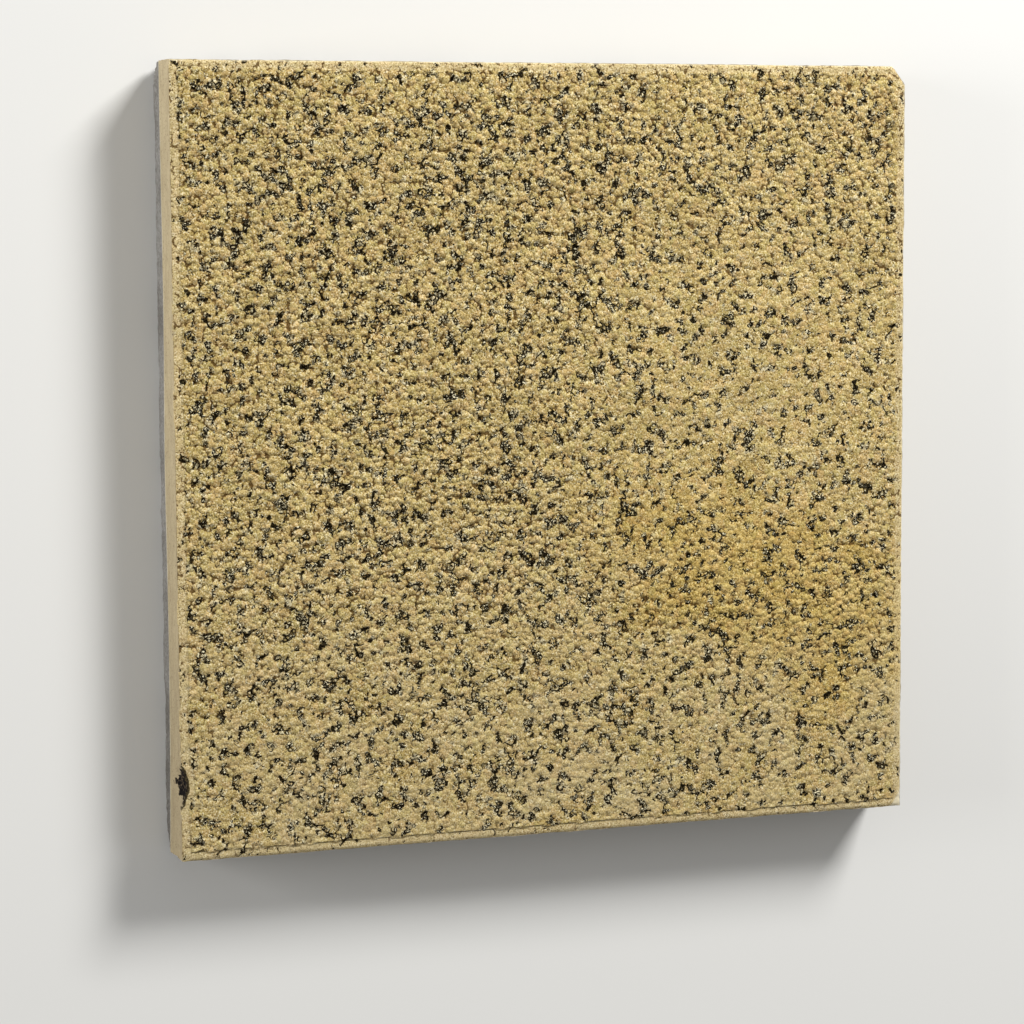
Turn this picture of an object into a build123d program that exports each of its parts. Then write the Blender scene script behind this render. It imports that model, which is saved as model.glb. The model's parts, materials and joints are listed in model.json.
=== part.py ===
from build123d import *
import os

# Washed terrazzo floor tile, pressed in one mould from two mixes.
#
# The tile lies as it is laid: the wear face looks up and the bedding face is on Z = 0, with the origin
# at its centre. Seen from above, +X points to the right edge and +Y to the upper edge.

# Driving dimensions, in millimetres
SIDE = 400.0  # each edge of the square tile
THICKNESS = 36.0  # bedding face to wear face
BACKING = 13.0  # nominal height of the seam between the two mixes
BORDER = 4.5  # width of the low border that the mould's rim leaves round the wear face
BORDER_DROP = 0.6  # wear face down to the border
RISER = 0.4  # bevel of the step between them
ARRIS = 0.8  # worn bevel along the tile's upper edges

# Rise of the seam over its nominal height, at even steps from the lower edge to the upper edge
SEAM_WAVE = (-5.0, -1.0, -0.2, -2.0, 1.0, 0.5, 0.3)

# The upper right corner is broken off through the whole thickness
CORNER_BREAK_X = 7.5
CORNER_BREAK_Y = 10.0

# Both left corners of the bedding face are knocked off
CHIP_HEIGHT = 7.0
UPPER_CHIP_X = 9.0
UPPER_CHIP_Y = 8.0
LOWER_CHIP_X = 10.0
LOWER_CHIP_Y = 12.0

# A spall has flaked off the left arris near the lower edge
SPALL_LENGTH = 21.0  # along the arris
SPALL_DROP = 16.0  # down the left side, from the wear face
SPALL_DEPTH = 3.0  # into the tile
SPALL_FROM_LOWER_EDGE = 38.5  # to the middle of the spall

HALF = SIDE / 2
LEFT = -HALF
RIGHT = HALF
LOWER = -HALF
UPPER = HALF

# The seam runs up the tile as one smooth wave
SEAM_STEP = SIDE / (len(SEAM_WAVE) - 1)
SEAM_POINTS = [(LOWER + i * SEAM_STEP, BACKING + rise) for i, rise in enumerate(SEAM_WAVE)]

# The spall is scooped by an upright spheroid whose centre is level with the wear face
SPALL_HALF = SPALL_LENGTH / 2
SPALL_RADIUS = (SPALL_HALF**2 + SPALL_DEPTH**2) / (2 * SPALL_DEPTH)
SPALL_REACH = SPALL_DROP * SPALL_RADIUS / SPALL_HALF
SPALL_CENTRE = (LEFT + SPALL_DEPTH - SPALL_RADIUS, LOWER + SPALL_FROM_LOWER_EDGE, THICKNESS)


def mix_section(flat_z):
    """Section of one mix across the tile, between the seam and the flat face at height flat_z."""
    with BuildSketch(Plane.YZ) as section:
        with BuildLine():
            seam = Spline(*SEAM_POINTS)
            Polyline(seam @ 1, (UPPER, flat_z), (LOWER, flat_z), seam @ 0)
        make_face()
    return section.sketch


def chip_plane(corner_y, along_x, along_y):
    """Slanting plane that knocks off a left corner of the bedding face, looking out of the tile."""
    on_lower_edge = Vector(LEFT + along_x, corner_y, 0)
    on_left_edge = Vector(LEFT, corner_y - along_y, 0)
    on_upright_edge = Vector(LEFT, corner_y, CHIP_HEIGHT)
    normal = (on_left_edge - on_lower_edge).cross(on_upright_edge - on_lower_edge)
    if normal.Z > 0:
        normal = -normal
    return Plane(origin=on_lower_edge, z_dir=normal)


corner_break = Plane(origin=(RIGHT - CORNER_BREAK_X, UPPER, 0), z_dir=(CORNER_BREAK_Y, CORNER_BREAK_X, 0))
backing_section = mix_section(0)
face_section = mix_section(THICKNESS)

# Backing layer: grey mortar, from the bedding face up to the seam
with BuildPart() as backing_layer:
    extrude(backing_section, amount=HALF, both=True)
    split(bisect_by=corner_break, keep=Keep.BOTTOM)
    split(bisect_by=chip_plane(UPPER, UPPER_CHIP_X, UPPER_CHIP_Y), keep=Keep.BOTTOM)
    split(bisect_by=chip_plane(LOWER, LOWER_CHIP_X, -LOWER_CHIP_Y), keep=Keep.BOTTOM)

# Face layer: straw-coloured mix of washed stone chips, from the seam up to the wear face
with BuildPart() as face_layer:
    extrude(face_section, amount=HALF, both=True)
    with BuildSketch(Plane.XY.offset(THICKNESS)):
        Rectangle(SIDE, SIDE)
        Rectangle(SIDE - 2 * BORDER, SIDE - 2 * BORDER, mode=Mode.SUBTRACT)
    extrude(amount=-BORDER_DROP, mode=Mode.SUBTRACT)
    border_face, wear_face = face_layer.faces().filter_by(Axis.Z).sort_by(Axis.Z)[-2:]
    chamfer(wear_face.edges(), RISER)
    chamfer(border_face.outer_wire().edges(), ARRIS)
    split(bisect_by=corner_break, keep=Keep.BOTTOM)
    with BuildSketch(Plane(origin=SPALL_CENTRE, x_dir=(1, 0, 0), z_dir=(0, -1, 0))):
        Ellipse(SPALL_RADIUS, SPALL_REACH)
        split(bisect_by=Plane.YZ)
    revolve(axis=Axis(SPALL_CENTRE, (0, 0, 1)), mode=Mode.SUBTRACT)

os.makedirs("parts", exist_ok=True)
backing_layer.part.label = "backing_layer"
export_step(backing_layer.part, "parts/backing_layer.step")
face_layer.part.label = "face_layer"
export_step(face_layer.part, "parts/face_layer.step")
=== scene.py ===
import json
import math
from types import SimpleNamespace

import bmesh
import bpy
import numpy as np
from mathutils import Matrix, Vector, noise

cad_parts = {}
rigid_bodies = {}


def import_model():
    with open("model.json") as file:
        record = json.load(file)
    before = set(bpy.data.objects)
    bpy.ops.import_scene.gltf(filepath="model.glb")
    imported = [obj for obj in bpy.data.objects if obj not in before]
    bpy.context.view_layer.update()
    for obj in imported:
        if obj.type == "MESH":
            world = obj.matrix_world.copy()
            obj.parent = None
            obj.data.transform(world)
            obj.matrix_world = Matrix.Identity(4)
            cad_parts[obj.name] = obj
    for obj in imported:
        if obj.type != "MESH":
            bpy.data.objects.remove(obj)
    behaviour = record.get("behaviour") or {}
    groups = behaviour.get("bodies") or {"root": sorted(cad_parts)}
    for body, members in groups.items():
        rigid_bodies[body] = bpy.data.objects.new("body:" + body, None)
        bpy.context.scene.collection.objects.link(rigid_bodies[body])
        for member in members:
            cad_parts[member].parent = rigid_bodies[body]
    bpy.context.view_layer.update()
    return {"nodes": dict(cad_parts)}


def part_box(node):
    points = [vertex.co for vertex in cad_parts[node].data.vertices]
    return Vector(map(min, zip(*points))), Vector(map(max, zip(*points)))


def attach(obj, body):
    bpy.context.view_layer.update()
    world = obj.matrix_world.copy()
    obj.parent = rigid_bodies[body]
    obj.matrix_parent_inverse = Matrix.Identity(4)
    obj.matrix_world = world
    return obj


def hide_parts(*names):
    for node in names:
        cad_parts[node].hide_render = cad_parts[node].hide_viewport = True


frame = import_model()

# Washed terrazzo tile: a crust of straw-coloured stones and dark chips, bedded in a cement body on a grey
# mortar backing. Lengths are in metres, written in millimetres times MM.
MM = 0.001

_, FACE_HIGH = (Vector(corner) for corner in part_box("face_layer"))
HALF = FACE_HIGH.x
WEAR_Z = FACE_HIGH.z

# The border that the mould's rim leaves, and the worn arris outside it
BORDER = 4.5 * MM
BORDER_DROP = 0.6 * MM
BORDER_RELIEF = 0.2  # share of their relief that the stones keep on the border
STEP_HALF = 0.4 * MM  # half the width of the step down to the border
STEP_WANDER = 3 * MM
STEP_WANDER_WIDTH = 9 * MM
ARRIS = 0.8 * MM
ARRIS_WIDTH = 1.6 * MM
ARRIS_FOOT = 0.2 * MM

# Damage: the broken corner, the knocked-off corners of the bedding face and the dark spall
CORNER_BREAK = Vector((7.5, 10.0)) * MM
CHIP_HEIGHT = 7 * MM
UPPER_CHIP = Vector((9, 8)) * MM
LOWER_CHIP = Vector((10, 12)) * MM
SPALL_LENGTH = 21 * MM
SPALL_DROP = 16 * MM
SPALL_DEPTH = 3 * MM
SPALL_Y = -HALF + 38.5 * MM
SPALL_RADIUS = ((SPALL_LENGTH / 2) ** 2 + SPALL_DEPTH**2) / (2 * SPALL_DEPTH)
SPALL_CENTRE = Vector((-HALF + SPALL_DEPTH - SPALL_RADIUS, SPALL_Y, WEAR_Z))

# The washed crust: its stones, how far their outlines wander, and the slabs that it is made of
LUMP_WIDTH = 3.9 * MM
PEBBLE_WIDTH = 2.0 * MM
GRIT_WIDTH = 1.2 * MM
WANDER_WIDTH = 2.3 * MM
WANDER_REACH = 2.0 * MM
STONE_BULGE = 2.2
CRUST_RELIEF = 1.4 * MM
RELIEF_TOP = 0.95  # relief that lies level with the wear face
CRUST_STEP = 0.8 * MM  # side of a mesh square
CRUST_DEPTH = 4.0 * MM  # wear face down to the slabs' lower side
CLUMP_SINK = 0.4 * MM  # how much lower the crust lies between the dark chips
RIM = 0.3 * MM  # outline of the tile to the slabs

# Noise that the crust's finish follows: lumps of about this width
UNEVEN_WIDTH = 5 * MM
PATCH_WIDTH = 24 * MM
CURL_WIDTH = 4 * MM
FLECK_WIDTH = 0.8 * MM
STROKE_WIDTH = 1.3 * MM

# Dark chips: how close they may lie, half their usual width, and how wide their clumps are
CHIP_SPACING = 1.4 * MM
CHIP_SEED = 11
CHIP_SIZE = 1.15 * MM
CHIP_MARGIN = 1.3 * MM  # outline of the tile to the first chips
CHIP_DENSITY = 2.0e6  # most chips on a square metre
CHIP_FLECK_WIDTH = 0.9 * MM
CLUMP_WIDTH = 5.0 * MM

# The chips' shapes: corners, radius and depth of each ring, and how far the corners stray
CHIP_SHAPES = 12
CHIP_SHAPE_SEED = 200
CHIP_PICKS = 99  # a pick beyond the last shape starts again at the first
CHIP_RINGS = ((4, 0.55, 0.0), (5, 1.0, 0.30), (3, 0.9, 1.0))
CORNER_SWING = 0.35
CORNER_REACH = (0.55, 1.3)
CORNER_DROP = 0.14

# Right of the middle the face is worn smoother, with fewer dark chips
SMOOTH_CENTRE = Vector((110, 15, 0)) * MM

# Cement body: its mesh, the inset and depth of the rings of the crust's bed, and the noise on its sides
SIDE_STEP = 1.25 * MM
SIDE_ROWS = 15
SIDE_SINK = 0.15 * MM
RIM_SINK = 0.2 * MM
BED_RINGS = ((0.8 * MM, 0.3 * MM), (2.2 * MM, 1.2 * MM))
BAND_WIDTH = 3.5 * MM
BAND_STRETCH = (0.25, 0.25, 1.0)
SPECK_WIDTH = 1.2 * MM
SEAM_GAP_WIDTH = 9 * MM
SPALL_GRAIN_WIDTH = 1.6 * MM
SPALL_EDGE_WIDTH = 4.5 * MM
CEMENT_GRAIN_WIDTH = 1.0 * MM

# Mortar backing: its mesh, finer within a margin from the edges, and the noise on it
MORTAR_FINE_STEP = 1.2 * MM
MORTAR_COARSE_STEP = 3.2 * MM
MORTAR_MARGIN = 12 * MM
MORTAR_ROWS = 8
MORTAR_SINK = 0.3 * MM
MORTAR_PATCH_WIDTH = 24 * MM
MORTAR_SAND_WIDTH = 1.4 * MM
MORTAR_GRAIN_WIDTH = 1.2 * MM

# Roughness of the cast and broken faces: height, width of the lumps, octaves and seed
SIDE_WAVE = (0.35 * MM, 22 * MM, 3, 2)
SIDE_PITS = (0.2 * MM, 2.8 * MM, 3, 3)
RIM_WAVE = (0.2 * MM, 4 * MM, 3, 10)
BREAK_RELIEF = (0.5 * MM, 4 * MM, 4, 4)
SPALL_RELIEF = (0.9 * MM, 4 * MM, 4, 5)
MORTAR_WAVE = (0.45 * MM, 20 * MM, 3, 6)
MORTAR_PITS = (0.35 * MM, 3.5 * MM, 4, 7)
MORTAR_BED = (0.35 * MM, 6 * MM, 4, 8)
MORTAR_BREAK = (0.6 * MM, 5 * MM, 4, 9)

# How the noise is turned against the tile's axes, and how far apart the seeds lie in it
NOISE_TURN = (0.6, 0.4, 0.5)
SEED_STEP = (7.3, 3.1, 5.7)
FRACTAL_DECAY = 0.8
FRACTAL_RATIO = 2.0

# Depth of the bump in each finish
CRUST_BUMP = 0.95 * MM
CHIP_BUMP = 0.5 * MM
CEMENT_BUMP = 0.4 * MM
MORTAR_BUMP = 0.8 * MM

# Closer than this, a point lies on a side
TOUCH = 0.001 * MM

# Studio
FLOOR_REACH = 6.0
SKY_STRENGTH = 0.3
TILE_MIDDLE = (0, 0, 0)
KEY_PLACE = (1.2, 1.75, 1.4)
KEY_SIZE = 0.8
KEY_WATTS = 90
FILL_PLACE = (-2.2, 0.3, 0.55)
FILL_SIZE = 1.0
FILL_WATTS = 34
CAMERA_PLACE = Vector((-0.5306, 0.1296, 1.4949))
CAMERA_AIM = Vector((-0.02376, -0.02981, 0.036))
CAMERA_LENS = 105.85
CAMERA_ROLL = math.radians(0.353)


def srgb(red, green, blue):
    """Linear colour of an sRGB one given in steps of 0 to 255."""
    steps = (red / 255, green / 255, blue / 255)
    return (*(s / 12.92 if s <= 0.04045 else ((s + 0.055) / 1.055) ** 2.4 for s in steps), 1.0)


# Finishes
STRAW_TONES = (
    (0.0, srgb(172, 148, 88)), (0.5, srgb(184, 160, 100)), (0.75, srgb(196, 173, 114)),
    (1.0, srgb(209, 191, 140)),
)
GREY_STONE = srgb(188, 180, 150)
PINK_STONE = srgb(203, 165, 112)
GREEN_STONE = srgb(179, 168, 101)
DARK_TONES = (
    (0.0, srgb(8, 4, 0)), (0.6, srgb(20, 12, 2)), (0.8, srgb(46, 37, 20)), (0.92, srgb(88, 78, 54)),
    (1.0, srgb(154, 142, 106)),
)
STROKE_BLACK = srgb(15, 9, 0)
SLATE = srgb(84, 74, 48)
CHIP_DUST = srgb(226, 216, 180)
BROAD_SHADE = srgb(228, 228, 228)
FINE_SHADE = srgb(112, 90, 48)
GLINT = srgb(240, 229, 194)
MORTAR_SAND = srgb(190, 186, 180)
HOLLOW_DIRT_AND_SHADE = srgb(112, 86, 44)
OCHRE_STAIN = srgb(252, 244, 214)
STAIN_CENTRE = Vector((125, -78, 36)) * MM
STAIN_TURN = (0, 0, -0.45)
STAIN_REACH = Vector((130, 62, 200)) * MM
LOWER_DUST = srgb(166, 152, 118)
SIDE_PALE = srgb(182, 167, 135)
SIDE_DARK = srgb(166, 151, 121)
SEAM_LINE = srgb(200, 194, 174)
ARRIS_HIGHLIGHT = srgb(218, 206, 172)
FRESH_PALE = srgb(206, 196, 168)
BORDER_PALE = srgb(202, 183, 140)
SPALL_TONES = ((0.42, srgb(9, 6, 5)), (0.56, srgb(24, 19, 18)), (0.66, srgb(92, 80, 62)))
MORTAR_PALE = srgb(152, 150, 146)
MORTAR_DARK = srgb(124, 121, 116)
LOWER_SHADE = srgb(205, 203, 200)
FLOOR_COLOUR = srgb(216, 215, 211)


class Wire:
    """A socket of a node tree that works in Python expressions: each operator adds a Math node."""

    def __init__(self, tree, socket=None):
        self.tree = tree
        self.socket = socket

    def node(self, kind, settings=None, sockets=None, output=0):
        """Adds any node: its settings first, then the values or links of its sockets."""
        made = self.tree.nodes.new(kind)
        for name, value in (settings or {}).items():
            if name == "stops":
                set_stops(made.color_ramp, value)
            else:
                setattr(made, name, value)
        for key, value in (sockets or {}).items():
            socket = find_socket(made.inputs, key)
            if isinstance(value, Wire):
                self.tree.links.new(value.socket, socket)
            else:
                socket.default_value = value
        return Wire(self.tree, find_socket(made.outputs, output) if made.outputs else None)

    def maths(self, operation, *values):
        return self.node("ShaderNodeMath", {"operation": operation}, dict(enumerate(values)))

    def __add__(self, other):
        return self.maths("ADD", self, other)

    def __radd__(self, other):
        return self.maths("ADD", other, self)

    def __sub__(self, other):
        return self.maths("SUBTRACT", self, other)

    def __rsub__(self, other):
        return self.maths("SUBTRACT", other, self)

    def __mul__(self, other):
        return self.maths("MULTIPLY", self, other)

    def __rmul__(self, other):
        return self.maths("MULTIPLY", other, self)

    def __pow__(self, other):
        return self.maths("POWER", self, other)

    def __lt__(self, other):
        return self.maths("LESS_THAN", self, other)

    def __abs__(self):
        return self.maths("ABSOLUTE", self)

    def at_least(self, other):
        return self.maths("MAXIMUM", self, other)

    def at_most(self, other):
        return self.maths("MINIMUM", self, other)

    def ease(self, start, end, low=0.0, high=1.0):
        """Goes smoothly from low at start to high at end."""
        sockets = {"Value": self, "From Min": start, "From Max": end, "To Min": low, "To Max": high}
        return self.node("ShaderNodeMapRange", {"interpolation_type": "SMOOTHSTEP"}, sockets)

    def split(self):
        """The X, Y and Z of a vector."""
        made = self.node("ShaderNodeSeparateXYZ", sockets={"Vector": self}).socket.node
        return [Wire(self.tree, socket) for socket in made.outputs]

    def vector(self, operation, *values, output="Vector"):
        return self.node("ShaderNodeVectorMath", {"operation": operation}, dict(enumerate(values)), output)

    def grain(self, size, detail=2.0, roughness=0.5, output=0):
        """Soft noise of 0 to 1 whose lumps are about size wide, turned so that its rows follow no edge."""
        sockets = {"Vector": self, "Rotation": NOISE_TURN}
        turned = self.node("ShaderNodeVectorRotate", {"rotation_type": "EULER_XYZ"}, sockets)
        sockets = {"Vector": turned, "Scale": 1 / size, "Detail": detail, "Roughness": roughness}
        return self.node("ShaderNodeTexNoise", sockets=sockets, output=output)

    def toned(self, stops):
        """The colour of a ramp at this value."""
        return self.node("ShaderNodeValToRGB", {"stops": stops}, {"Fac": self}, "Color")

    def mixed(self, other, share, blend="MIX"):
        """This colour mixed with another by share."""
        return self.blended(self, other, share, blend)

    def blended(self, first, second, share, blend="MIX"):
        settings = {"data_type": "RGBA", "blend_type": blend, "clamp_factor": True}
        return self.node("ShaderNodeMix", settings, {"Factor": share, "A": first, "B": second}, "Result")


def find_socket(sockets, key):
    """A socket by its place, or the enabled one of that name."""
    if isinstance(key, int):
        return sockets[key]
    return next(s for s in sockets if s.enabled and s.name == key)


def set_stops(ramp, stops):
    """Fills a colour ramp with (place, colour) stops."""
    while len(ramp.elements) < len(stops):
        ramp.elements.new(1.0)
    for element, (place, colour) in zip(ramp.elements, stops):
        element.position = place
        element.color = colour


# Relief of the wear face, for its shapes and its materials alike


def from_spall(flat):
    return flat.vector("DISTANCE", flat, (*SPALL_CENTRE.xy, 0), output="Value") - SPALL_RADIUS


def from_edges(flat):
    """How far inside the tile's outline a flat place lies, with the broken corner and the spall taken out."""
    x, y, _ = flat.split()
    across = Vector((CORNER_BREAK.y, CORNER_BREAK.x)).normalized()
    from_break = (HALF - CORNER_BREAK.x - x) * across.x + (HALF - y) * across.y
    return (HALF - abs(x).at_least(abs(y))).at_most(from_break).at_most(from_spall(flat))


def worn_arris(inward):
    """How far the arris is worn down, so far inside the tile's outline."""
    return inward.ease(ARRIS_WIDTH, ARRIS_FOOT, 0.0, ARRIS)


def step_to_border(inward):
    """From 0 on the border to 1 on the field, so far inside the tile's outline."""
    return inward.ease(BORDER - STEP_HALF, BORDER + STEP_HALF)


def border_relief(on_field):
    """How much of their relief the stones have."""
    return BORDER_RELIEF + (1 - BORDER_RELIEF) * on_field


def up_tile(place):
    """How far up from the tile's middle a place lies."""
    return place.split()[1]


def stones(place, width):
    """Packs stones about width wide: how far each bulges, from 1 at its middle, and its own three draws."""
    sockets = {"Vector": place, "Scale": 1 / width}
    cells = place.node("ShaderNodeTexVoronoi", {"voronoi_dimensions": "2D"}, sockets).socket.node
    away = Wire(place.tree, cells.outputs["Distance"])
    return 1 - STONE_BULGE * away * away, Wire(place.tree, cells.outputs["Color"]).split()


def from_smooth(flat):
    return flat.vector("DISTANCE", flat, SMOOTH_CENTRE, output="Value")


def clumps(flat):
    """How thick the dark chips lie: in clumps, and fewer along the edges, to the right and on the part that
    is worn smoother."""
    to_right = flat.split()[0].ease(-60 * MM, 160 * MM, 0.012, -0.004)
    plenty = to_right + from_smooth(flat).ease(30 * MM, 150 * MM, -0.003, 0.0)
    return flat.grain(CLUMP_WIDTH, 2.0) + plenty + from_edges(flat).ease(1 * MM, 9 * MM, -0.08, 0.0)


def bent_place(flat):
    """A flat place moved a little, so that the outlines of the stones wander."""
    wander = flat.grain(WANDER_WIDTH, 1.0, output="Color")
    return flat.vector("MULTIPLY_ADD", wander, (WANDER_REACH,) * 3, flat)


def washed_stones(flat, bent):
    """The crust's stones: their relief, from 0 to about 1 and flatter where the face is worn, their tone and
    their hue."""
    lump, lump_draws = stones(bent, LUMP_WIDTH)
    pebble, pebble_draws = stones(bent, PEBBLE_WIDTH)
    grit_draws = stones(bent, GRIT_WIDTH)[1]
    lump = lump * (0.5 + 0.5 * lump_draws[0])
    pebble = pebble * (0.35 + 0.45 * pebble_draws[0])
    worn_below = up_tile(flat).ease(-30 * MM, -170 * MM, 0.0, 0.4)
    worn = from_smooth(flat).ease(150 * MM, 40 * MM, 0.0, 0.45).at_least(worn_below)
    return SimpleNamespace(
        relief=lump.at_least(pebble).at_least(0) * (1 - worn) + 0.5 * worn,
        tone=0.35 * lump_draws[0] + 0.35 * pebble_draws[0] + 0.3 * grit_draws[0],
        hue=lump_draws[1])


# Materials


def new_material(name, **constants):
    """A material, its main shader with the values that are the same all over, and a wire to build on."""
    material = bpy.data.materials.new(name)
    material.use_nodes = True
    shader = material.node_tree.nodes["Principled BSDF"]
    for socket, value in constants.items():
        shader.inputs[socket.replace("_", " ")].default_value = value
    return material, shader, Wire(material.node_tree)


def feed(shader, socket, wire):
    wire.tree.links.new(wire.socket, shader.inputs[socket])


def bumped(shader, height, distance, strength=1.0):
    sockets = {"Height": height, "Distance": distance, "Strength": strength}
    feed(shader, "Normal", height.node("ShaderNodeBump", sockets=sockets))


def object_place(wire):
    return wire.node("ShaderNodeTexCoord", output="Object")


def flattened(place):
    return place.vector("MULTIPLY", place, (1, 1, 0))


def attribute(wire, name, output="Fac"):
    """A number or a vector stored on the piece's points."""
    return wire.node("ShaderNodeAttribute", {"attribute_name": name}, output=output)


def weathered_and_shaded(own, place, patchy, hollow_shade):
    """Lays the wear face's stains and painted shade over a colour: broad patches, the ochre stain, dust
    towards the lower edge, and painted shade, partly dirt, in the hollows."""
    colour = own.mixed(BROAD_SHADE, patchy.ease(0.7, 0.3, 0.0, 0.6), "MULTIPLY")
    from_stain = place.node("ShaderNodeMapping", {"vector_type": "TEXTURE"}, {
        "Vector": place, "Location": STAIN_CENTRE, "Rotation": STAIN_TURN, "Scale": STAIN_REACH})
    spread = place.vector("LENGTH", from_stain, output="Value")
    stain = (spread + 0.9 * (patchy - 0.5)).ease(1.1, 0.35)
    colour = colour.mixed(OCHRE_STAIN, stain, "MULTIPLY")
    dust = up_tile(place).ease(20 * MM, -200 * MM) * patchy.ease(0.3, 0.7)
    colour = colour.mixed(LOWER_DUST, 0.45 * dust)
    # Painted shade, partly dirt, darkens the hollows
    return colour.mixed(HOLLOW_DIRT_AND_SHADE, 0.85 * hollow_shade, "MULTIPLY")


def crust_material():
    """Film of straw-coloured cement on the stones: each has its own tone, and greyer ones lie by the dark
    chips. Black strokes run through the clumps."""
    material, shader, wire = new_material("washed_crust", Roughness=0.75, Specular_IOR_Level=0.05)
    place = object_place(wire)
    flat = flattened(place)
    x, y, _ = flat.split()
    stone = washed_stones(flat, attribute(wire, "bent", "Vector"))
    on_field, thick, inward = (attribute(wire, name) for name in ("on_field", "thick", "inward"))
    uneven, patchy, curl = (attribute(wire, name) for name in ("uneven", "patchy", "curl"))
    fine = place.grain(FLECK_WIDTH, 1.0, 0.6)
    flecked = thick.ease(0.44, 0.55, 0.65, 1.0)

    own = stone.tone.toned(STRAW_TONES)
    own = own.mixed(PINK_STONE, stone.hue.ease(0.65, 0.9, 0.0, 0.3))
    own = own.mixed(GREEN_STONE, stone.hue.ease(0.35, 0.1, 0.0, 0.3))
    own = own.mixed(GREY_STONE, 0.7 * thick.ease(0.49, 0.57) * stone.tone.ease(0.5, 0.7))
    own = own.mixed(BORDER_PALE, 0.5 * (1 - on_field))
    # Fine dark specks (painted shade) and bright ones (painted highlight), strongest in the clumps
    own = own.mixed(FINE_SHADE, flecked * fine.ease(0.44, 0.37), "MULTIPLY")
    own = own.mixed(GLINT, 0.8 * flecked * fine.ease(0.58, 0.63))

    # Painted shade, partly dirt, darkens the hollows between the stones, and a painted shadow line runs along
    # the step down to the lower border
    step = 4 * on_field * (1 - on_field) * uneven.ease(0.42, 0.56)
    step = step * y.ease(-HALF + 25 * MM, -HALF + 10 * MM)
    colour = weathered_and_shaded(own, place, patchy, stone.relief.ease(0.31, 0.15).at_least(0.5 * step))
    patch = (place.grain(STROKE_WIDTH, 2.0, 0.65) + thick.ease(0.52, 0.66, -0.18, 0.02)).ease(0.53, 0.56)
    line = abs(curl - 0.5).ease(0.062, 0.034)
    stroke = patch.at_least(line * (thick + 0.12 * (fine - 0.5)).ease(0.535, 0.56))
    black = place.blended(STROKE_BLACK, SLATE, fine.ease(0.56, 0.60, 0.0, 0.5))
    colour = colour.mixed(black, stroke)

    # Painted highlight: the arris is paler at the upper and right edges, where the light catches it; it is
    # fresh and pale at the lower right corner
    lit_arris = x.at_least(y).ease(HALF - 3 * MM, HALF - 1 * MM) * uneven.ease(0.3, 0.6)
    colour = colour.mixed(ARRIS_HIGHLIGHT, 0.8 * lit_arris * inward.ease(1.1 * MM, 0.4 * MM))
    from_corner = 1.3 * (HALF - x) + 0.75 * (HALF + y) + 5 * MM * (uneven - 0.5)
    colour = colour.mixed(FRESH_PALE, from_corner.ease(8.5 * MM, 7 * MM, 0.0, 0.85))
    spilled = (from_spall(flat) + 3 * MM * (uneven - 0.5)).ease(1.2 * MM, 0.7 * MM)
    feed(shader, "Base Color", colour.mixed(STROKE_BLACK, 0.9 * spilled))
    bumped(shader, border_relief(on_field) * stone.relief + 0.25 * on_field, CRUST_BUMP)
    return material


def dark_material():
    """Dark stone chips of black and slate, flecked with straw-coloured cement."""
    material, shader, wire = new_material("dark_chips", Specular_IOR_Level=0.05)
    place = object_place(wire)
    own = attribute(wire, "tone").toned(DARK_TONES)
    flecked = place.grain(CHIP_FLECK_WIDTH, 2.0, 0.6)
    own = own.mixed(SLATE, flecked.ease(0.42, 0.36, 0.0, 0.5))
    dusted = flecked.ease(0.555, 0.585)
    feed(shader, "Base Color", own.mixed(CHIP_DUST, 0.9 * dusted))
    feed(shader, "Roughness", 0.5 + 0.3 * dusted)
    bumped(shader, flecked, CHIP_BUMP, 0.7)
    return material


def face_cement_material():
    """Straw-coloured cement of the sides: sandy, with a pale line over the seam, and black in the spall."""
    material, shader, wire = new_material("face_cement", Roughness=0.85, Specular_IOR_Level=0.1)
    place = object_place(wire)
    bands = place.vector("MULTIPLY", place, BAND_STRETCH).grain(BAND_WIDTH, 4.0, 0.65).ease(0.3, 0.7)
    side = place.blended(SIDE_DARK, SIDE_PALE, bands)
    side = side.mixed(LOWER_SHADE, 0.6 * up_tile(place).ease(60 * MM, -190 * MM), "MULTIPLY")
    specks = place.grain(SPECK_WIDTH, 3.0, 0.6).ease(0.56, 0.68)
    side = side.mixed(HOLLOW_DIRT_AND_SHADE, 0.45 * specks, "MULTIPLY")
    seam = attribute(wire, "over_seam").ease(0.9, 0.2) * place.grain(SEAM_GAP_WIDTH, 3.0).ease(0.25, 0.6)
    side = side.mixed(SEAM_LINE, 0.8 * seam)
    spall = place.grain(SPALL_GRAIN_WIDTH, 3.0).toned(SPALL_TONES)
    ragged = attribute(wire, "spall") + 1.2 * (place.grain(SPALL_EDGE_WIDTH, 4.0) - 0.5)
    feed(shader, "Base Color", side.mixed(spall, ragged.ease(0.0, 0.05)))
    bumped(shader, place.grain(CEMENT_GRAIN_WIDTH, 3.0), CEMENT_BUMP, 0.7)
    return material


def backing_material():
    """Grey mortar, sandy and pitted, darker towards the lower edge."""
    material, shader, wire = new_material("backing_mortar", Roughness=0.9, Specular_IOR_Level=0.1)
    place = object_place(wire)
    patchy = place.grain(MORTAR_PATCH_WIDTH, 3.0).ease(0.3, 0.7)
    colour = place.blended(MORTAR_DARK, MORTAR_PALE, patchy)
    sand = place.grain(MORTAR_SAND_WIDTH, 3.0).ease(0.3, 0.7)
    colour = colour.mixed(MORTAR_SAND, 0.8 * (1 - sand), "MULTIPLY")
    colour = colour.mixed(LOWER_SHADE, up_tile(place).ease(-40 * MM, -190 * MM), "MULTIPLY")
    feed(shader, "Base Color", colour)
    bumped(shader, place.grain(MORTAR_GRAIN_WIDTH, 4.0), MORTAR_BUMP, 0.9)
    return material


# Shapes


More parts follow.
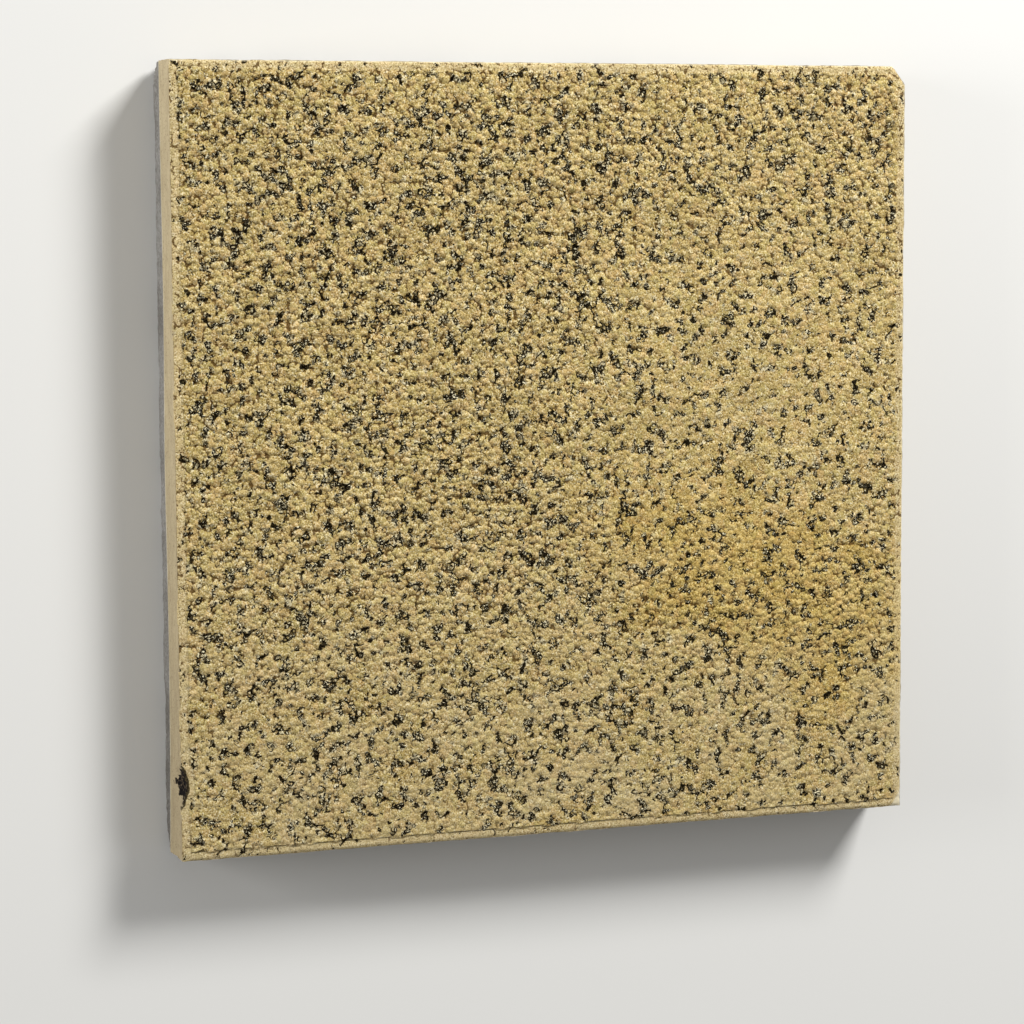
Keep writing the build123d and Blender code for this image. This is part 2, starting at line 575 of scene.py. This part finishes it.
def rough(points, height, width, octaves, seed):
    """Fractal noise about 0 at each point, so high and with lumps about so wide."""
    shift = Vector([seed * step for step in SEED_STEP])
    places = [Vector(point) / width + shift for point in points]
    return height * np.array([noise.fractal(p, FRACTAL_DECAY, FRACTAL_RATIO, octaves) for p in places])


def seam_course():
    """How the seam between the two mixes runs up the tile, read from the lowest points of the face layer."""
    points = np.array([vertex.co for vertex in frame["nodes"]["face_layer"].data.vertices])
    seam = points[points[:, 2] < WEAR_Z / 2]
    along, first = np.unique(seam[:, 1].round(6), return_index=True)
    return along, seam[first, 2]


def seam_at(y):
    return np.interp(y, *SEAM_COURSE)


def steps_across(fine, coarse, margin):
    """Places from edge to edge, in fine steps near the edges and coarse ones between."""
    near = np.linspace(0, margin, round(margin / fine) + 1)
    middle = np.linspace(-HALF + margin, HALF - margin, round(2 * (HALF - margin) / coarse) + 1)
    return np.concatenate([-HALF + near[:-1], middle, HALF - near[::-1][1:]])


def box_skin(steps):
    """Lattice places and outward quads of the skin of a box with this many steps along X, Y and Z."""
    counts = np.array(steps) + 1
    quads = []
    for axis in range(3):
        u, v = (axis + 1) % 3, (axis + 2) % 3
        cell_u, cell_v = (grid.ravel() for grid in np.meshgrid(np.arange(steps[u]), np.arange(steps[v])))
        for end in (0, steps[axis]):
            corners = np.zeros((len(cell_u), 4, 3), int)
            corners[:, :, axis] = end
            for place, (du, dv) in enumerate(((0, 0), (1, 0), (1, 1), (0, 1))):
                corners[:, place, u] = cell_u + du
                corners[:, place, v] = cell_v + dv
            quads.append(corners if end else corners[:, ::-1])
    lattice = np.concatenate(quads)
    numbers = (lattice[..., 0] * counts[1] + lattice[..., 1]) * counts[2] + lattice[..., 2]
    kept, quads = np.unique(numbers, return_inverse=True)
    places = np.stack([kept // (counts[1] * counts[2]), kept // counts[2] % counts[1], kept % counts[2]], 1)
    return places, quads.reshape(-1, 4)


def layer_skin(across, rises, low, high):
    """Points, rises and quads of a layer between the heights low(y) and high(y)."""
    places, quads = box_skin((len(across) - 1, len(across) - 1, len(rises) - 1))
    x, y = across[places[:, 0]], across[places[:, 1]]
    rise = rises[places[:, 2]]
    z = low(y) * (1 - rise) + high(y) * rise
    return np.stack([x, y, z], 1), rise, quads


def push_sides(points, chosen, outward):
    """Moves the chosen points of the four sides outward by so much."""
    for axis in (0, 1):
        on_side = chosen & (HALF - np.abs(points[:, axis]) < TOUCH)
        points[on_side, axis] += (np.sign(points[:, axis]) * outward)[on_side]


def cut_by_plane(points, on_plane, outward, relief):
    """Presses the points that stand outside a plane back onto it, less some relief."""
    outward = np.array(outward) / np.linalg.norm(outward)
    over = (points - np.array(on_plane)) @ outward + relief
    cut = over > 0
    points[cut] -= over[cut, None] * outward


def cut_corner_break(points, relief):
    on_plane = (HALF - CORNER_BREAK.x, HALF, 0)
    cut_by_plane(points, on_plane, (CORNER_BREAK.y, CORNER_BREAK.x, 0), relief)


def cut_bedding_corner(points, upward, legs, relief):
    outward = (-1 / legs.x, upward / legs.y, -1 / CHIP_HEIGHT)
    cut_by_plane(points, (-HALF, upward * HALF, CHIP_HEIGHT), outward, relief)


def cut_spall(points, relief):
    """Scoops the spall with a spheroid level with the wear face. Returns where its dark leaf shows: from 1 at
    the middle of the arris to 0 at its tips and its lowest point."""
    reach = np.array([SPALL_RADIUS, SPALL_RADIUS, SPALL_DROP * SPALL_RADIUS * 2 / SPALL_LENGTH])
    depth = SPALL_RADIUS * (1 - np.linalg.norm((points - np.array(SPALL_CENTRE)) / reach, axis=1))
    leaf = 1 - np.abs(points[:, 1] - SPALL_Y) / (SPALL_LENGTH / 2) - (WEAR_Z - points[:, 2]) / SPALL_DROP
    cut = depth > 0
    points[cut, 0] += (depth + relief)[cut]
    return np.where(points[:, 0] < 0, leaf, -1)


def mesh_object(name, points, faces, material):
    mesh = bpy.data.meshes.new(name)
    mesh.from_pydata(points.tolist(), [], faces)
    mesh.materials.append(material)
    mesh.update()
    made = bpy.data.objects.new(name, mesh)
    bpy.context.scene.collection.objects.link(made)
    return made


def point_values(piece, name, values):
    """Stores a number for each point of a piece, for its material to read."""
    layer = piece.data.attributes.new(name, "FLOAT", "POINT")
    layer.data.foreach_set("value", np.asarray(values, np.float32))


def edge_loop(step):
    """Places round the tile's outline, counter-clockwise from its lower left corner, less the broken one."""
    count = round(2 * HALF / step)
    along = np.linspace(-HALF, HALF, count + 1)[:-1]
    flat = np.full(count, HALF)
    level = np.zeros(count)
    sides = ((along, -flat, level), (flat, along, level), (-along, flat, level), (-flat, -along, level))
    loop = np.concatenate([np.stack(side, 1) for side in sides])
    cut_corner_break(loop, 0)
    return loop[:, :2]


def cap_strips(first, count):
    """Faces of a level cap on a square loop whose points start at first: strips from left to right."""
    spot = [first + number for number in range(4 * count)]
    rows = range(1, count - 1)
    strips = [(spot[-row], spot[count + row], spot[count + row + 1], spot[-row - 1]) for row in rows]
    lower = (*spot[:count + 2], spot[-1])
    upper = (spot[3 * count + 1], *spot[2 * count - 1:3 * count + 1])
    return [lower, *strips, upper]


def face_body():
    """Cement body of the face layer: rough sides, and a sunken bed for the crust."""
    loop = edge_loop(SIDE_STEP)
    rim_z = WEAR_Z - BORDER_DROP - ARRIS - RIM_SINK
    rises = np.linspace(0, 1, SIDE_ROWS)
    rings = [(0, lambda y, rise=rise: seam_at(y) * (1 - rise) + rim_z * rise) for rise in rises]
    rings += [(inset, lambda y, depth=depth: np.full_like(y, rim_z - depth)) for inset, depth in BED_RINGS]
    points = []
    for inset, height in rings:
        ring = loop * (1 - inset / HALF)
        points.append(np.column_stack([ring, height(ring[:, 1])]))
    points = np.concatenate(points)
    number = np.arange(len(points)).reshape(len(rings), -1)
    after = np.roll(number, -1, 1)
    walls = np.stack([number[:-1], after[:-1], after[1:], number[1:]], -1).reshape(-1, 4)
    count = len(loop) // 4
    bottom = [face[::-1] for face in cap_strips(0, count)]
    top = cap_strips(int(number[-1, 0]), count)
    wave = rough(points, *SIDE_WAVE) + rough(points, *SIDE_PITS) - SIDE_SINK
    push_sides(points, np.arange(len(points)) >= len(loop), wave)
    rim = number[len(rises) - 1]
    points[rim, 2] += rough(points[rim], *RIM_WAVE)
    cut_corner_break(points, rough(points, *BREAK_RELIEF))
    spall = cut_spall(points, np.abs(rough(points, *SPALL_RELIEF)))
    body = mesh_object("face_body", points, [*walls.tolist(), *bottom, *top], face_cement_material())
    point_values(body, "over_seam", (points[:, 2] - seam_at(points[:, 1])) / MM)
    point_values(body, "spall", spall)
    return body


def backing_body():
    """Grey mortar backing with rough sides and bed, and two corners knocked off."""
    across = steps_across(MORTAR_FINE_STEP, MORTAR_COARSE_STEP, MORTAR_MARGIN)
    points, rise, quads = layer_skin(across, np.linspace(0, 1, MORTAR_ROWS), np.zeros_like, seam_at)
    wave = rough(points, *MORTAR_WAVE) + rough(points, *MORTAR_PITS) - MORTAR_SINK
    push_sides(points, rise < 1, wave)
    bed = rise == 0
    points[bed, 2] += np.abs(rough(points, *MORTAR_BED))[bed]
    relief = rough(points, *MORTAR_BREAK)
    cut_corner_break(points, relief)
    cut_bedding_corner(points, 1, UPPER_CHIP, relief)
    cut_bedding_corner(points, -1, LOWER_CHIP, relief)
    return mesh_object("backing_body", points, quads.tolist(), backing_material())


def chip_shape(name, seed):
    """One angular chip, with its top at the origin and a depth of 1: corners in rings, wrapped by a hull."""
    chance = np.random.default_rng(seed)
    shape = bmesh.new()
    for count, radius, depth in CHIP_RINGS:
        turn = chance.uniform(0, 2 * math.pi)
        for corner in range(count):
            angle = turn + (corner + chance.uniform(-CORNER_SWING, CORNER_SWING)) * 2 * math.pi / count
            reach = radius * chance.uniform(*CORNER_REACH)
            drop = depth + chance.uniform(0.0, CORNER_DROP) * (depth < 1)
            shape.verts.new((reach * math.cos(angle), reach * math.sin(angle), -drop))
    hull = bmesh.ops.convex_hull(shape, input=shape.verts)
    bmesh.ops.delete(shape, geom=hull["geom_interior"], context="VERTS")
    bmesh.ops.recalc_face_normals(shape, faces=shape.faces)
    for face in shape.faces:
        face.smooth = False
    mesh = bpy.data.meshes.new(name)
    shape.to_mesh(mesh)
    shape.free()
    return bpy.data.objects.new(name, mesh)


def chip_set(count, seed):
    """A collection of chip shapes to scatter."""
    shapes = bpy.data.collections.new("chips")
    for number in range(count):
        shapes.objects.link(chip_shape(f"chip_{number}", seed + number))
    return shapes


def new_tree(name, kinds):
    """A geometry tree with named inputs and one output, a wire to build on, and the wires of its inputs."""
    tree = bpy.data.node_groups.new(name, "GeometryNodeTree")
    for socket, kind in kinds.items():
        tree.interface.new_socket(socket, in_out="INPUT", socket_type=f"NodeSocket{kind}")
    tree.interface.new_socket("Made", in_out="OUTPUT", socket_type="NodeSocketGeometry")
    start = Wire(tree)
    inputs = start.node("NodeGroupInput").socket.node.outputs
    return tree, start, {socket: Wire(tree, inputs[socket]) for socket in kinds}


def finished_tree(start, geometry, material):
    """Ends a geometry tree."""
    real = start.node("GeometryNodeRealizeInstances", sockets={"Geometry": geometry})
    painted = start.node("GeometryNodeSetMaterial", sockets={"Geometry": real, "Material": material})
    start.node("NodeGroupOutput", sockets={"Made": painted})


def grown(name, tree, mesh, **inputs):
    """Runs a geometry tree on a mesh once and keeps its result as a plain mesh."""
    made = bpy.data.objects.new(name, mesh)
    bpy.context.scene.collection.objects.link(made)
    modifier = made.modifiers.new("grow", "NODES")
    modifier.node_group = tree
    for item in tree.interface.items_tree:
        value = inputs.get(item.name.lower())
        if value is not None:
            modifier[item.identifier] = value
    depsgraph = bpy.context.evaluated_depsgraph_get()
    result = bpy.data.meshes.new_from_object(
        made.evaluated_get(depsgraph), preserve_all_data_layers=True, depsgraph=depsgraph)
    made.modifiers.clear()
    made.data = result
    result.name = name
    return made


def crust_tree():
    """Geometry nodes that cut the spall out of a sheet, raise the crust's stones on it, lower its border and
    its edges, and store what its material needs."""
    tree, start, given = new_tree("washed crust", {"Sheet": "Geometry", "Material": "Material"})
    flat = flattened(start.node("GeometryNodeInputPosition"))
    trimmed = start.node("GeometryNodeDeleteGeometry", {"domain": "FACE"}, {
        "Geometry": given["Sheet"], "Selection": from_spall(flat) < RIM})
    inward = from_edges(flat)
    thick = clumps(flat)
    on_field = step_to_border(inward + STEP_WANDER * (flat.grain(STEP_WANDER_WIDTH, 2.0) - 0.5))
    bent = bent_place(flat)
    height = CRUST_RELIEF * border_relief(on_field) * (washed_stones(flat, bent).relief - RELIEF_TOP)
    height = height - BORDER_DROP * (1 - on_field) - CLUMP_SINK * thick.ease(0.47, 0.60) - worn_arris(inward)
    upward = start.node("ShaderNodeCombineXYZ", sockets={"Z": height})
    made = start.node("GeometryNodeSetPosition", sockets={"Geometry": trimmed, "Offset": upward})
    stored = {
        "on_field": on_field, "thick": thick, "inward": inward, "bent": bent,
        "uneven": flat.grain(UNEVEN_WIDTH), "patchy": flat.grain(PATCH_WIDTH, 3.0),
        "curl": flat.grain(CURL_WIDTH, 1.0),
    }
    for name, value in stored.items():
        kind = "FLOAT_VECTOR" if name == "bent" else "FLOAT"
        made = start.node("GeometryNodeStoreNamedAttribute", {"data_type": kind, "domain": "POINT"}, {
            "Geometry": made, "Name": name, "Value": value})
    smooth = start.node("GeometryNodeSetShadeSmooth", sockets={"Geometry": made})
    finished_tree(start, smooth, given["Material"])
    return tree


def quarter_sheet(across, along):
    """Fine flat sheet over one quarter of the wear face, up to the broken corner."""
    sheet = bmesh.new()
    reach = HALF - RIM
    steps = round(reach / CRUST_STEP)
    middle = Matrix.Translation((across * reach / 2, along * reach / 2, WEAR_Z))
    bmesh.ops.create_grid(sheet, x_segments=steps, y_segments=steps, size=reach / 2, matrix=middle)
    outward = Vector((CORNER_BREAK.y, CORNER_BREAK.x, 0)).normalized()
    bmesh.ops.bisect_plane(
        sheet, geom=[*sheet.verts, *sheet.edges, *sheet.faces], clear_outer=True, plane_no=outward,
        plane_co=Vector((HALF - CORNER_BREAK.x, HALF, 0)) - RIM * outward)
    mesh = bpy.data.meshes.new("quarter")
    sheet.to_mesh(mesh)
    sheet.free()
    return mesh


def close_below(piece, floor_z):
    """Closes a sheet into a slab: flat walls down from its rim, and one level face below."""
    slab = bmesh.new()
    slab.from_mesh(piece.data)
    rim = [edge for edge in slab.edges if edge.is_boundary]
    for edge in rim:
        edge.smooth = False
    walls = bmesh.ops.extrude_edge_only(slab, edges=rim)["geom"]
    for corner in walls:
        if isinstance(corner, bmesh.types.BMVert):
            corner.co.z = floor_z
    lower_rim = [edge for edge in walls if isinstance(edge, bmesh.types.BMEdge) and edge.is_boundary]
    below = bmesh.ops.edgeloop_fill(slab, edges=lower_rim)["faces"]
    for face in (*walls, *below):
        if isinstance(face, bmesh.types.BMFace):
            face.smooth = False
    bmesh.ops.recalc_face_normals(slab, faces=slab.faces)
    slab.to_mesh(piece.data)
    slab.free()


def crust_quarters():
    """The washed crust, in four slabs that meet along the tile's middle lines."""
    tree = crust_tree()
    material = crust_material()
    quarters = (
        ("crust_lower_left", -1, -1), ("crust_lower_right", 1, -1),
        ("crust_upper_left", -1, 1), ("crust_upper_right", 1, 1),
    )
    made = []
    for name, across, along in quarters:
        quarter = grown(name, tree, quarter_sheet(across, along), material=material)
        close_below(quarter, WEAR_Z - CRUST_DEPTH)
        made.append(quarter)
    return made


def field_sheet():
    """Flat sheet over the wear face, clear of the broken corner and the spall, to scatter the chips on."""
    reach = HALF - CHIP_MARGIN
    outline = (
        (-reach, -reach), (reach, -reach), (reach, HALF - CORNER_BREAK.y - CHIP_MARGIN),
        (HALF - CORNER_BREAK.x - CHIP_MARGIN, reach), (-reach, reach),
        (-reach, SPALL_Y + SPALL_LENGTH / 2), (-HALF + SPALL_DEPTH + CHIP_MARGIN, SPALL_Y),
        (-reach, SPALL_Y - SPALL_LENGTH / 2),
    )
    sheet = bpy.data.meshes.new("field")
    sheet.from_pydata([(x, y, WEAR_Z) for x, y in outline], [], [range(len(outline))])
    return sheet


def chip_tree():
    """Geometry nodes that scatter chips over a sheet, in clumps."""
    tree, start, given = new_tree("dark chips", {
        "Sheet": "Geometry", "Spacing": "Float", "Seed": "Int", "Size": "Float", "Shapes": "Collection",
        "Material": "Material"})

    def draw(seed, low=0.0, high=1.0, kind="FLOAT"):
        sockets = {"Min": low, "Max": high, "Seed": seed}
        return start.node("FunctionNodeRandomValue", {"data_type": kind}, sockets, "Value")

    def vector(x, y, z):
        return start.node("ShaderNodeCombineXYZ", sockets={"X": x, "Y": y, "Z": z})

    points = start.node("GeometryNodeDistributePointsOnFaces", {"distribute_method": "POISSON"}, {
        "Mesh": given["Sheet"], "Distance Min": given["Spacing"], "Density Max": CHIP_DENSITY,
        "Seed": given["Seed"]})
    flat = flattened(start.node("GeometryNodeInputPosition"))
    bare = 1 - (draw(1) < clumps(flat).ease(0.54, 0.67, 0.015, 0.85))
    kept = start.node("GeometryNodeDeleteGeometry", {"domain": "POINT"}, {
        "Geometry": points, "Selection": bare})

    # Chips on the border sit lower and are finer
    inward = from_edges(flat)
    on_field = step_to_border(inward)
    sink = BORDER_DROP * (1 - on_field) + worn_arris(inward) + draw(3, 0.1 * MM, 0.8 * MM)
    lowered = start.node("GeometryNodeSetPosition", sockets={
        "Geometry": kept, "Offset": vector(0, 0, -1 * sink)})
    size = given["Size"] * (0.6 + 0.8 * draw(4) ** 2.0) * (0.7 + 0.3 * on_field)
    scale = vector(size * draw(5, 0.95, 1.7), size * draw(6, 0.6, 1.0), 1.1 * MM + 0.35 * size)
    turn = vector(draw(7, -0.35, 0.35), draw(8, -0.35, 0.35), draw(9, 0.0, 2 * math.pi))
    shapes = start.node("GeometryNodeCollectionInfo", sockets={
        "Collection": given["Shapes"], "Separate Children": True, "Reset Children": True})
    chips = start.node("GeometryNodeInstanceOnPoints", sockets={
        "Points": lowered, "Instance": shapes, "Pick Instance": True,
        "Instance Index": draw(10, 0, CHIP_PICKS, "INT"), "Rotation": turn, "Scale": scale})
    toned = start.node("GeometryNodeStoreNamedAttribute", {"data_type": "FLOAT", "domain": "INSTANCE"}, {
        "Geometry": chips, "Name": "tone", "Value": draw(11)})
    finished_tree(start, toned, given["Material"])
    return tree


def dark_chips():
    """Dark stone chips, bedded in the crust."""
    shapes = chip_set(CHIP_SHAPES, CHIP_SHAPE_SEED)
    made = grown(
        "dark_chips", chip_tree(), field_sheet(), spacing=CHIP_SPACING, seed=CHIP_SEED, size=CHIP_SIZE,
        shapes=shapes, material=dark_material())
    for shape in list(shapes.objects):
        bpy.data.objects.remove(shape)
    bpy.data.collections.remove(shapes)
    return made


# Studio


def add_floor():
    mesh = bpy.data.meshes.new("floor")
    ends = (-FLOOR_REACH, FLOOR_REACH)
    mesh.from_pydata([(x, y, 0) for y in ends for x in ends], [], [(0, 1, 3, 2)])
    mesh.materials.append(new_material("floor", Base_Color=FLOOR_COLOUR, Roughness=0.8)[0])
    floor = bpy.data.objects.new("floor", mesh)
    bpy.context.scene.collection.objects.link(floor)


def add_lamp(name, place, aim, size, watts):
    lamp = bpy.data.lights.new(name, "AREA")
    lamp.size = size
    lamp.energy = watts
    made = bpy.data.objects.new(name, lamp)
    made.location = place
    made.rotation_euler = (Vector(aim) - Vector(place)).to_track_quat("-Z", "Y").to_euler()
    bpy.context.scene.collection.objects.link(made)


def add_world(strength):
    world = bpy.data.worlds.new("studio")
    world.use_nodes = True
    background = world.node_tree.nodes["Background"]
    background.inputs["Color"].default_value = (1.0, 1.0, 1.0, 1.0)
    background.inputs["Strength"].default_value = strength
    bpy.context.scene.world = world


def add_camera(place, aim, lens, roll):
    """A camera that looks down on the wear face, with the tile's upper edge up in the picture."""
    forward = (aim - place).normalized()
    right = forward.cross(Vector((0, 1, 0))).normalized()
    up = right.cross(forward)
    turn = Matrix((right, up, -forward)).transposed() @ Matrix.Rotation(-roll, 3, "Z")
    camera = bpy.data.objects.new("camera", bpy.data.cameras.new("camera"))
    camera.data.lens = lens
    camera.matrix_world = Matrix.Translation(place) @ turn.to_4x4()
    bpy.context.scene.collection.objects.link(camera)
    bpy.context.scene.camera = camera


SEAM_COURSE = seam_course()
face = face_body()
backing = backing_body()
wear_face = [*crust_quarters(), dark_chips()]

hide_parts("face_layer")
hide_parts("backing_layer")
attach(backing, "root")
for piece in (face, *wear_face):
    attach(piece, "root")

add_floor()
add_world(SKY_STRENGTH)
add_lamp("key", KEY_PLACE, TILE_MIDDLE, KEY_SIZE, KEY_WATTS)
add_lamp("left fill", FILL_PLACE, TILE_MIDDLE, FILL_SIZE, FILL_WATTS)
add_camera(CAMERA_PLACE, CAMERA_AIM, CAMERA_LENS, CAMERA_ROLL)
bpy.context.scene.view_settings.view_transform = "Standard"
